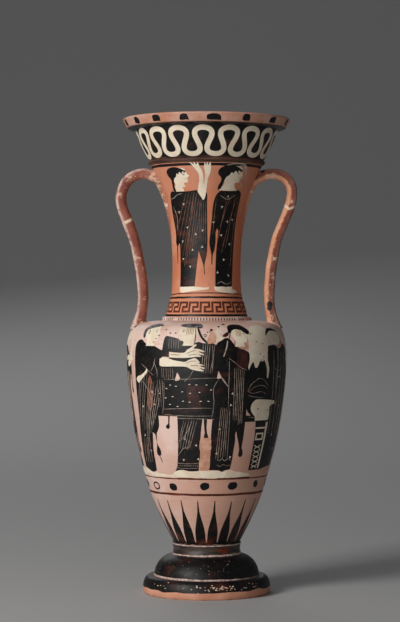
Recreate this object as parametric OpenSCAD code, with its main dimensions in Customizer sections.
// Tall neck-amphora with a flaring mouth, two looped handles and a stepped foot.
// Each thrown or hand-rolled clay piece is its own solid. Neighbouring pieces meet
// face to face on a shallow spigot and recess, as they do when luted with slip.
// Millimetres, +Z up, origin at the centre of the foot's resting ring.

/* [Foot] */
// Largest radius of the lower step of the foot
foot_r = 65.8; // [62:0.2:70]
// Height of the lower step
disc_h = 18; // [15:0.5:21]
// Largest radius of the rounded upper step
torus_r = 54.3; // [50:0.2:56]
// Height of the rounded upper step
torus_h = 22; // [18:0.5:26]
// Radius of the collar between foot and body
fillet_r = 35.6; // [34.4:0.2:37]
// Height of that collar
fillet_h = 12.5; // [10:0.5:15]

/* [Body] */
// Wall thickness of the body
body_wall = 5.5; // [4:0.25:7]
// Thickness of the closed floor
floor_h = 8; // [6:0.5:12]

/* [Neck] */
// Wall thickness of the neck
neck_wall = 5; // [4:0.25:6]
// Radius of the tenon that drops into the shoulder
tenon_r = 38; // [37:0.25:39]

/* [Mouth] */
// Wall thickness of the mouth
mouth_wall = 5; // [4:0.25:6]
// Largest radius of the lip
lip_r = 86.4; // [84:0.2:88]
// Height of the whole vessel, to the top of the lip
height = 490; // [488:0.5:494]

/* [Handles] */
// Thickness of a handle as seen from the front
handle_t = 11; // [9:0.25:13]
// Width of a handle as seen from the side
handle_w = 14.5; // [12:0.25:17]
// Ring of the left handle's sweep where the mended break starts
left_break = 14; // [14:1:20]
// Ring of the right handle's sweep where the mended break starts
right_break = 12; // [12:1:20]

/* [Hidden] */
$fn = 96;

// Heights of the joint planes, from the ground up
z_torus = disc_h;
z_fillet = z_torus + torus_h;
z_body = z_fillet + fillet_h;
z_shoulder = 281.5;
z_moulding = 441.5;
z_mouth = 447;
z_lip = 478.5;
// Depth of each spigot and recess
step = 2;
// Radii of the spigots, which the recess below each one shares
torus_spigot_r = 49;
fillet_spigot_r = 31.5;
body_spigot_r = 27;
// Radii of the conical hollow under the foot: at the ground, at each step and at its roof
hollow_r = [53, 45, 27, 22];
// Radii of the joint between neck and mouth: inside, step and outside
collar_r = [52, 55, 57.4];
// Outer radius of the mouth at its base and under the lip, and the joint with the lip
mouth_foot_r = 59.2;
mouth_top_r = 73.6;
lip_bore_r = mouth_top_r - mouth_wall;
lip_step_r = mouth_top_r - mouth_wall / 2;
// Inner and outer radius of the coil on the shoulder, and its height
ring_r = [42.5, 47.2];
ring_h = 4;

// Colours
clay = "#c9825f";
slip = "#d9b3a0";
gloss = "#1d1a18";
paint = "#8f4a3f";
plaster = "#e6cdb9";

// A smooth curve through the points, by the Catmull-Rom rule, as a list of points
function at(p, i) = p[max(0, min(len(p) - 1, i))];
function between(a, b, c, d, t) =
    0.5 * (2 * b + (c - a) * t + (2 * a - 5 * b + 4 * c - d) * t * t
           + (3 * b - a - 3 * c + d) * t * t * t);
function curve(p, n) = concat(
    [for (i = [0:len(p) - 2], k = [0:n - 1])
        between(at(p, i - 1), p[i], p[i + 1], at(p, i + 2), k / n)],
    [p[len(p) - 1]]);

// The list shifted sideways by d, to the left of its direction of travel
function turned(v) = [-v[1], v[0]] / norm(v);
function shifted(p, d) = [for (i = [0:len(p) - 1])
    p[i] + d * turned(at(p, i + 1) - at(p, i - 1))];
function reversed(p) = [for (i = [len(p) - 1:-1:0]) p[i]];

// Outer outlines, as [radius, height], from the lowest point up
body_outline = curve([
    [34, z_body], [43, 70], [54.6, 95], [63, 121], [71.5, 153], [77.6, 186],
    [81.6, 222], [82.5, 248], [80.8, 264], [75.4, 274.5], [64, 279.8],
    [ring_r[1], z_shoulder]], 4);
neck_outline = curve([
    [ring_r[0], z_shoulder + ring_h], [40.6, 293.5], [38.2, 301], [36.4, 309], [35.5, 325],
    [35.4, 341], [36.1, 358], [37.3, 378], [39.4, 394], [42.6, 408], [47.8, 421.5],
    [53.2, 432.5], [collar_r[2], z_moulding]], 3);
mouth_outline = curve([
    [mouth_foot_r, z_mouth], [63.6, 455], [68.6, 465], [mouth_top_r, z_lip]], 4);

module foot_disc() {
    // The edge swells from the ground, is widest at a third of its height and rolls over on top
    low = disc_h / 3;
    rest_r = foot_r - 2.6;
    top_r = foot_r - 6;
    edge = concat(
        [for (a = [-90:15:0]) [rest_r + 2.6 * cos(a), low * (1 + sin(a))]],
        [for (a = [10:10:90]) [top_r + 6 * cos(a), low + (disc_h - low) * sin(a)]]);
    color(gloss) rotate_extrude() polygon(concat(
        [[hollow_r[0], 0]], edge,
        [[torus_spigot_r, z_torus], [torus_spigot_r, z_torus - step],
         [hollow_r[1], z_torus - step]]));
}

module foot_torus() {
    // A quarter of an ellipse in section, cut off flat where the collar stands on it
    inner_r = 34;
    side = [for (a = [0:6:78])
        [inner_r + (torus_r - inner_r) * cos(a), z_torus + torus_h * sin(a)]];
    color(gloss) rotate_extrude() polygon(concat(
        [[hollow_r[1], z_torus - step], [torus_spigot_r, z_torus - step],
         [torus_spigot_r, z_torus]],
        side,
        [[37, z_fillet], [fillet_spigot_r, z_fillet], [fillet_spigot_r, z_fillet - step],
         [hollow_r[2], z_fillet - step]]));
}

module foot_fillet() {
    // The collar's side is a little hollow
    bow = 0.9;
    color(gloss) rotate_extrude() polygon(concat(
        [[fillet_spigot_r, z_fillet]],
        [for (t = [0:0.125:1]) [fillet_r - bow * sin(180 * t), z_fillet + fillet_h * t]],
        [[body_spigot_r, z_body], [body_spigot_r, z_body - step],
         [hollow_r[3], z_body - step], [hollow_r[2], z_fillet - step],
         [fillet_spigot_r, z_fillet - step]]));
}

module body() {
    inner = [for (p = shifted(body_outline, body_wall))
        if (p[0] > tenon_r + 0.5 && p[1] > z_body + floor_h && p[1] < z_shoulder - body_wall) p];
    color(slip) rotate_extrude() polygon(concat(
        [[0, z_body - step], [body_spigot_r, z_body - step], [body_spigot_r, z_body]],
        body_outline,
        [[tenon_r, z_shoulder], [tenon_r, z_shoulder - body_wall]],
        reversed(inner),
        [[inner[0][0] - 6, z_body + floor_h], [0, z_body + floor_h]]));
}

module shoulder_ring() {
    // A rolled coil, half round outside, laid in the angle between shoulder and neck
    color(slip) rotate_extrude() polygon(concat(
        [[ring_r[0], z_shoulder]],
        [for (a = [0:15:90]) [ring_r[0] + (ring_r[1] - ring_r[0]) * cos(a),
                              z_shoulder + ring_h * sin(a)]]));
}

module neck() {
    inner = [for (p = shifted(neck_outline, neck_wall)) if (p[1] < z_moulding - 2 * step) p];
    color(clay) rotate_extrude() polygon(concat(
        [[tenon_r - neck_wall, z_shoulder - body_wall], [tenon_r, z_shoulder - body_wall],
         [tenon_r, z_shoulder], [ring_r[0], z_shoulder]],
        neck_outline,
        [[collar_r[1], z_moulding], [collar_r[1], z_moulding - step],
         [collar_r[0], z_moulding - step]],
        reversed(inner)));
}

module neck_moulding() {
    // A coil that stands proud of neck and mouth where the two were thrown together
    bulge = 60.8;
    rise = z_mouth - z_moulding;
    color(clay) rotate_extrude() polygon(concat(
        [[collar_r[0], z_moulding - step], [collar_r[1], z_moulding - step],
         [collar_r[1], z_moulding]],
        [for (t = [0:0.125:1])
            [collar_r[2] + 1.2 * t + (bulge - collar_r[2] - 0.6) * sin(180 * t),
             z_moulding + rise * t]],
        [[collar_r[1], z_mouth], [collar_r[1], z_mouth - step],
         [collar_r[0], z_mouth - step]]));
}

module mouth() {
    inner = [for (p = shifted(mouth_outline, mouth_wall))
        if (p[1] > z_mouth + 3 && p[1] < z_lip) p];
    color(gloss) rotate_extrude() polygon(concat(
        [[collar_r[0], z_mouth - step], [collar_r[1], z_mouth - step], [collar_r[1], z_mouth]],
        mouth_outline,
        [[lip_step_r, z_lip], [lip_step_r, z_lip + step], [lip_bore_r, z_lip + step]],
        reversed(inner)));
}

module lip() {
    // The band leans outwards. Its underside hooks over the top of the mouth.
    round_r = 1.6;
    color(clay) rotate_extrude() polygon(concat(
        [[lip_bore_r, z_lip + step], [lip_step_r, z_lip + step], [lip_step_r, z_lip],
         [mouth_top_r, z_lip], [lip_r - 7.9, z_lip + 0.8], [lip_r - 4.8, z_lip + 1.7],
         [lip_r - 4, z_lip + 2.5]],
        [for (a = [0:15:90]) [lip_r - round_r + round_r * cos(a),
                              height - round_r + round_r * sin(a)]],
        [[lip_bore_r + 5, height], [lip_bore_r + 2.2, height - 2.4]]));
}

// Centre lines of the handles, as [distance from the axis, height], from the neck down
left_path = [
    [46, 427], [59.5, 432.6], [70, 433], [79.5, 428.4], [85.8, 420], [88.6, 409],
    [86.8, 397], [82.2, 385], [77.6, 372], [73.4, 359], [70.4, 345], [68, 331],
    [66.4, 317], [65.8, 304], [67, 291], [69, 281], [70, 272]];
right_path = [
    [46, 425], [59.5, 432], [70, 433.4], [80.5, 430], [87.3, 421.6], [88.8, 411],
    [86, 398.6], [81, 386], [75.4, 372.5], [71.4, 359], [68.4, 345], [66.4, 331],
    [65.2, 317], [65, 304], [66.2, 291], [68.6, 281], [70, 272]];
handle_steps = 2;
handle_sides = 16;
fill_rings = 1;
// How far from either end of the sweep the clay swells into its root, in rings
root_rings = 4;

// Swelling of the section at ring i out of n, as [thickness, width] factors
function swell(i, n) =
    let (top = max(0, 1 - i / root_rings), foot = max(0, 1 - (n - 1 - i) / root_rings))
    [1 + 0.15 * top * top + 0.75 * foot * foot, 1 + 0.25 * top * top + 0.85 * foot * foot];

// One ring of the sweep: a rounded rectangle across the path
function ring(p, i) =
    let (t = at(p, i + 1) - at(p, i - 1), n = turned(t), s = swell(i, len(p)))
    [for (k = [0:handle_sides - 1])
        let (a = 360 * k / handle_sides, c = cos(a), d = sin(a),
             u = sign(c) * pow(abs(c), 0.7) * handle_t / 2 * s[0],
             v = sign(d) * pow(abs(d), 0.7) * handle_w / 2 * s[1])
        [p[i][0] + n[0] * u, v, p[i][1] + n[1] * u]];

// The stretch of a handle from one ring to another, as a closed solid
module sweep(path, first, last) {
    p = curve(path, handle_steps);
    rings = [for (i = [first:last]) ring(p, i)];
    m = len(rings);
    points = [for (r = rings) each r];
    sides = [for (i = [0:m - 2], k = [0:handle_sides - 1])
        let (j = (k + 1) % handle_sides)
        [i * handle_sides + k, i * handle_sides + j,
         (i + 1) * handle_sides + j, (i + 1) * handle_sides + k]];
    near = [for (k = [handle_sides - 1:-1:0]) k];
    far = [for (k = [0:handle_sides - 1]) (m - 1) * handle_sides + k];
    polyhedron(points, concat(sides, [near, far]), convexity = 6);
}

// The rib that runs from a handle's upper root down the side of the neck
module rib() {
    half = 5;
    outline = [[30, 432], [55, 432], [53, 424], [48.8, 412], [43.4, 398], [39.6, 382],
               [36.6, 364], [30, 364]];
    rotate([90, 0, 0]) translate([0, 0, -half]) linear_extrude(2 * half) polygon(outline);
}

// What the handles have to stay out of
module neck_envelope() {
    rotate_extrude() polygon(concat(
        [[0, neck_outline[0][1]]], neck_outline, [[0, z_moulding]]));
}

module body_envelope() {
    rotate_extrude() polygon(concat([[0, z_body]], body_outline, [[0, z_shoulder]]));
}

function last_ring(path) = (len(path) - 1) * handle_steps;

module handle_upper(path, broken) {
    color(paint) difference() {
        union() {
            sweep(path, 0, broken);
            rib();
        }
        neck_envelope();
    }
}

module handle_fill(path, broken) {
    color(plaster) sweep(path, broken, broken + fill_rings);
}

module handle_lower(path, broken) {
    color(paint) difference() {
        sweep(path, broken + fill_rings, last_ring(path));
        body_envelope();
    }
}

foot_disc();
foot_torus();
foot_fillet();
body();
shoulder_ring();
neck();
neck_moulding();
mouth();
lip();
mirror([1, 0, 0]) handle_upper(left_path, left_break);  // left_handle_upper
mirror([1, 0, 0]) handle_fill(left_path, left_break);  // left_handle_fill
mirror([1, 0, 0]) handle_lower(left_path, left_break);  // left_handle_lower
handle_upper(right_path, right_break);  // right_handle_upper
handle_fill(right_path, right_break);  // right_handle_fill
handle_lower(right_path, right_break);  // right_handle_lower
